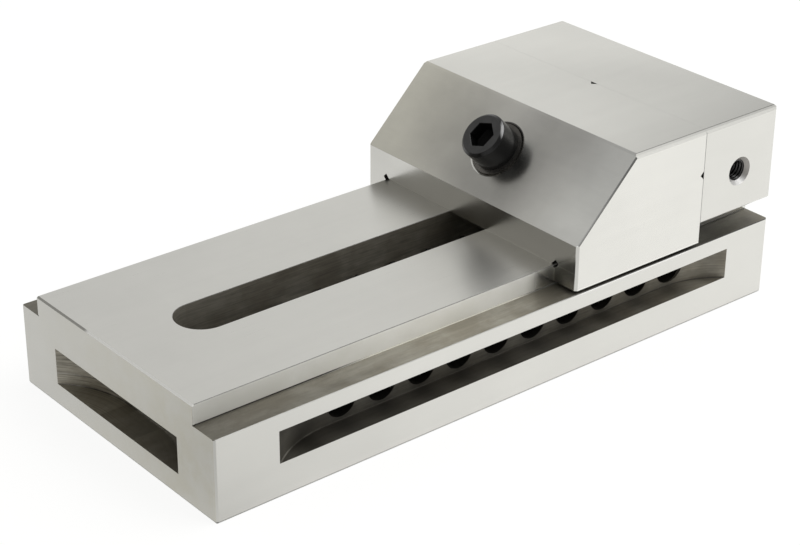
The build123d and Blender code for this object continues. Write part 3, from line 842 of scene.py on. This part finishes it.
def build_screw(material, inside):
    """The socket head cap screw, with its hexagon socket and its real thread."""
    count = 72
    hex_turn = math.radians(18.0)
    flat_reach = 6.0
    corner_reach = flat_reach / math.cos(math.pi / 6)
    head_low, head_radius, chamfer, edge = 0.54, 11.65, 1.4, 0.22
    socket_floor, mouth_bevel, inside_reach, face_gap = 7.54, 0.22, 7.1, 0.6
    drill_radius, drill_tip, drill_depth = 5.3, 0.8, 1.5
    pitch, root = 2.0, 5.8
    groove, groove_top, groove_low = 6.7, -30.64, -31.64
    thread_start, tip, tip_chamfer = -45.0, -99.46, 1.5
    steps = 10
    angles = [hex_turn + math.tau * i / count for i in range(count)]

    def hex_radius(angle):
        return flat_reach / math.cos((angle - hex_turn) % (math.pi / 3) - math.pi / 6)

    def ring(radius_at, height_at):
        made = []
        for angle in angles:
            radius, height = radius_at(angle), height_at(angle)
            across, down = radius * math.cos(angle), radius * math.sin(angle)
            made.append(SEAT + ACROSS * across + DOWN_SLOPE * down + OUTWARD * height)
        return made

    def round_ring(radius, height):
        return ring(lambda angle: radius, lambda angle: height)

    rings = [
        round_ring(drill_tip, socket_floor - drill_depth),
        round_ring(drill_radius, socket_floor - 0.2),
        ring(lambda angle: min(hex_radius(angle) - 0.35, 5.9), lambda angle: socket_floor),
        ring(hex_radius, lambda angle: socket_floor + 0.3),
        ring(hex_radius, lambda angle: HEAD_TOP - mouth_bevel),
        ring(lambda angle: hex_radius(angle) + mouth_bevel, lambda angle: HEAD_TOP),
    ]
    outside = softened(
        [
            (corner_reach + face_gap, HEAD_TOP),
            (head_radius - chamfer, HEAD_TOP),
            (head_radius, HEAD_TOP - chamfer),
            (head_radius, head_low),
            (SHANK, head_low),
            (SHANK, groove_top),
            (groove, groove_top),
            (groove, groove_low),
            (SHANK, groove_low),
            (SHANK, thread_start),
        ],
        edge,
    )
    rings += [round_ring(radius, height) for radius, height in outside]
    for level in range(1, int((thread_start - tip) / pitch * steps) + 1):
        height = thread_start - level * pitch / steps
        fade = min((thread_start - height) / pitch, 1.0)
        limit = SHANK - tip_chamfer + max(height - tip, 0.0)

        def radius_at(angle, height=height, fade=fade, limit=limit):
            cut = (SHANK - root) * thread_depth(height, angle, pitch) * fade
            return min(SHANK - cut, limit)

        rings.append(ring(radius_at, lambda angle, height=height: height))
    rings.append(round_ring(SHANK - tip_chamfer - 0.3, tip))
    piece = skin_rings("cap_screw", rings, False, material)
    piece.data.materials.append(inside)
    for face in piece.data.polygons:
        offset = face.center / MM - SEAT
        height = offset.dot(OUTWARD)
        off_axis = (offset - OUTWARD * height).length
        if socket_floor - 2.0 < height < HEAD_TOP - mouth_bevel and off_axis < inside_reach:
            face.material_index = 1
    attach(piece, "screw")
    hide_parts("clamping_screw")


def build_stop_thread(side, material):
    """The thread ridges in one of the tapped stop holes."""
    count = 64
    outer, crest, root, pitch = 5.07, 4.55, 5.0, 1.75
    start, end = 2.3, 22.5
    steps = 9
    centre = Vector((STOP_PLACE[0], side * SIDE, STOP_PLACE[1]))
    inward = Vector((0.0, -side, 0.0))
    east = Vector((1.0, 0.0, 0.0))
    up = inward.cross(east)

    def ring(radius_at, depth):
        made = []
        for i in range(count):
            angle = math.tau * i / count
            radius = radius_at(angle)
            made.append(centre + inward * depth + east * (radius * math.cos(angle)) + up * (radius * math.sin(angle)))
        return made

    rings = [ring(lambda angle: outer, end), ring(lambda angle: outer, start)]
    for level in range(int((end - start) / pitch * steps) + 1):
        depth = start + level * pitch / steps
        rings.append(
            ring(lambda angle, depth=depth: crest + (root - crest) * thread_depth(depth, angle, pitch), depth)
        )
    name = "stop_thread_near" if side < 0 else "stop_thread_far"
    piece = skin_rings(name, rings, True, material)
    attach(piece, "body")


def finish_nodes():
    """Gives each carried-over CAD node its material and builds the pieces that stand for the screw's."""
    finishes = {
        "vise_body": ground_steel("ground_body", body_finish),
        "movable_jaw": ground_steel("ground_jaw", jaw_finish),
        "swivel_washer": black_oxide("black_washer", washer_black, gloss=0.28, specular=0.6, metallic=0.85),
        "spring_washer": plain_steel("plain_washer", level=0.50, warm=0.0, gloss=0.30),
        "screw_spring": plain_steel("spring_wire", level=0.30, warm=0.01, gloss=0.30),
        "retaining_ring": plain_steel("ring_steel", level=0.22, warm=0.01, gloss=0.32),
        "cross_nut": plain_steel("dark_nut", level=0.22, warm=0.03, gloss=0.34),
    }
    for node, material in finishes.items():
        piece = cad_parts[node]
        piece.data.materials.clear()
        piece.data.materials.append(material)
    black = black_oxide("black_screw", screw_black, gloss=0.20, specular=0.36, metallic=0.0)
    build_screw(black, socket_black("socket_black"))
    # The stop holes' thread is painted nearly black, as painted shade inside the holes
    tapped = plain_steel("tapped_steel_painted_shade", level=0.06, warm=0.01, gloss=0.30)
    build_stop_thread(-1, tapped)
    build_stop_thread(1, tapped)


# Stage

def build_floor():
    """A wide pale floor, near white to the camera and in the steel, with the vise's soft shadow on it."""
    size, gap = 6.0, 0.05
    camera_share, camera_level = 0.80, 1.10
    mirror_share, patch_place = 0.75, (-255.0, -60.0, 0.0)
    mesh = bpy.data.meshes.new("floor")
    corners = [(-size, -size, 0.0), (size, -size, 0.0), (size, size, 0.0), (-size, size, 0.0)]
    mesh.from_pydata(corners, [], [(0, 1, 2, 3)])
    floor = bpy.data.objects.new("floor", mesh)
    bpy.context.scene.collection.objects.link(floor)
    material = bpy.data.materials.new("floor_paper")
    material.use_nodes = True
    tree = material.node_tree
    tree.nodes.clear()
    path = add_node(tree, "ShaderNodeLightPath").outputs
    where = add_node(tree, "ShaderNodeNewGeometry").outputs["Position"]
    x, y, _ = add_node(tree, "ShaderNodeSeparateXYZ", {0: where}).outputs

    # The floor glows outside the vise's outline, and under the vise it stays plain paper
    mirrored = do_math(tree, "MAXIMUM", path["Is Glossy Ray"], path["Is Transmission Ray"])
    mirrored = do_math(tree, "MULTIPLY", mirrored, mirror_share)
    share = do_math(tree, "MULTIPLY_ADD", path["Is Camera Ray"], camera_share, mirrored)
    past_end = do_math(tree, "SUBTRACT", do_math(tree, "ABSOLUTE", x), END * MM)
    past_side = do_math(tree, "SUBTRACT", do_math(tree, "ABSOLUTE", y), SIDE * MM)
    outside = do_math(tree, "GREATER_THAN", do_math(tree, "MAXIMUM", past_end, past_side), -0.5 * MM)
    share = do_math(tree, "MULTIPLY", share, outside)

    # Painted light in the floor's glow as the steel mirrors it: paler towards the rear, with a darker patch before
    # the front
    mirror_level = levels_along(tree, do_math(tree, "ADD", x, 0.5), FLOOR_GLOW_LEVELS)
    patch = ramp(tree, distance_from(tree, where, patch_place), 0.13, 0.02)
    mirror_level = do_math(tree, "MULTIPLY_ADD", patch, -0.22, mirror_level)
    strength = blend_values(tree, path["Is Camera Ray"], mirror_level, camera_level)
    paper = add_node(tree, "ShaderNodeBsdfDiffuse", {"Color": (0.82, 0.82, 0.81, 1.0)})
    glow = add_node(tree, "ShaderNodeEmission", {"Color": (1.0, 1.0, 0.995, 1.0), "Strength": strength})
    mixed = add_node(tree, "ShaderNodeMixShader", {0: share, 1: paper.outputs[0], 2: glow.outputs[0]})
    add_node(tree, "ShaderNodeOutputMaterial", {"Surface": mixed.outputs[0]})
    mesh.materials.append(material)
    floor.location.z = -gap * MM


def build_world():
    """A pale room, white to the camera. It is lighter at the far rear, darker at the far front and the near side."""
    world = bpy.data.worlds.new("studio")
    bpy.context.scene.world = world
    world.use_nodes = True
    tree = world.node_tree
    tree.nodes.clear()
    direction = add_node(tree, "ShaderNodeTexCoord").outputs["Generated"]
    room = (0.70, 0.70, 0.695, 1.0)
    for way, edge, core, tint in (
        ((0.6227, 0.7038, 0.3420), 0.975, 0.9985, (0.90, 0.90, 0.885, 1.0)),
        ((-0.837, 0.478, 0.267), 0.65, 0.97, (0.30, 0.292, 0.278, 1.0)),
        ((-0.36, -0.74, 0.56), 0.80, 0.97, (0.30, 0.30, 0.30, 1.0)),
    ):
        toward = add_node(tree, "ShaderNodeVectorMath", {0: direction, 1: way}, operation="DOT_PRODUCT")
        room = blend_colours(tree, ramp(tree, toward.outputs["Value"], edge, core), room, tint)
    path = add_node(tree, "ShaderNodeLightPath")
    colour = blend_colours(tree, path.outputs["Is Camera Ray"], room, (1.0, 1.0, 1.0, 1.0))
    light = add_node(tree, "ShaderNodeBackground", {"Color": colour, "Strength": 1.0})
    add_node(tree, "ShaderNodeOutputWorld", {"Surface": light.outputs[0]})


def add_softbox(name, place, size, power):
    """A square lamp that points at the middle of the vise."""
    middle = Vector((0.0, 0.0, 0.05))
    lamp = bpy.data.lights.new(name, "AREA")
    lamp.shape = "SQUARE"
    lamp.size = size
    lamp.energy = power
    box = bpy.data.objects.new(name, lamp)
    bpy.context.scene.collection.objects.link(box)
    box.location = place
    box.rotation_mode = "QUATERNION"
    box.rotation_quaternion = (middle - Vector(place)).to_track_quat("-Z", "Y")


def build_camera():
    """The photograph's camera, found by fitting the vise's corners."""
    azimuth, elevation, roll = math.radians(-39.657), math.radians(27.053), math.radians(0.381)
    forward = Vector((
        -math.sin(azimuth) * math.cos(elevation),
        math.cos(azimuth) * math.cos(elevation),
        -math.sin(elevation),
    ))
    level_right = Vector((math.cos(azimuth), math.sin(azimuth), 0.0))
    level_up = level_right.cross(forward)
    right = level_right * math.cos(roll) + level_up * math.sin(roll)
    up = level_up * math.cos(roll) - level_right * math.sin(roll)
    lens = bpy.data.cameras.new("camera")
    lens.sensor_width = 36.0
    lens.lens = 93.195
    camera = bpy.data.objects.new("camera", lens)
    bpy.context.scene.collection.objects.link(camera)
    turned = Matrix((right, up, -forward)).transposed()
    camera.rotation_mode = "QUATERNION"
    camera.rotation_quaternion = turned.to_quaternion()
    camera.location = Vector((-558.6, -666.0, 476.9)) * MM
    bpy.context.scene.camera = camera


finish_nodes()
build_floor()
build_world()
build_camera()
add_softbox("overhead", (0.49, -0.41, 1.45), size=0.9, power=4.2)
add_softbox("fill", (1.0, -0.9, 1.2), size=1.6, power=6.5)
bpy.context.scene.view_settings.view_transform = "Standard"
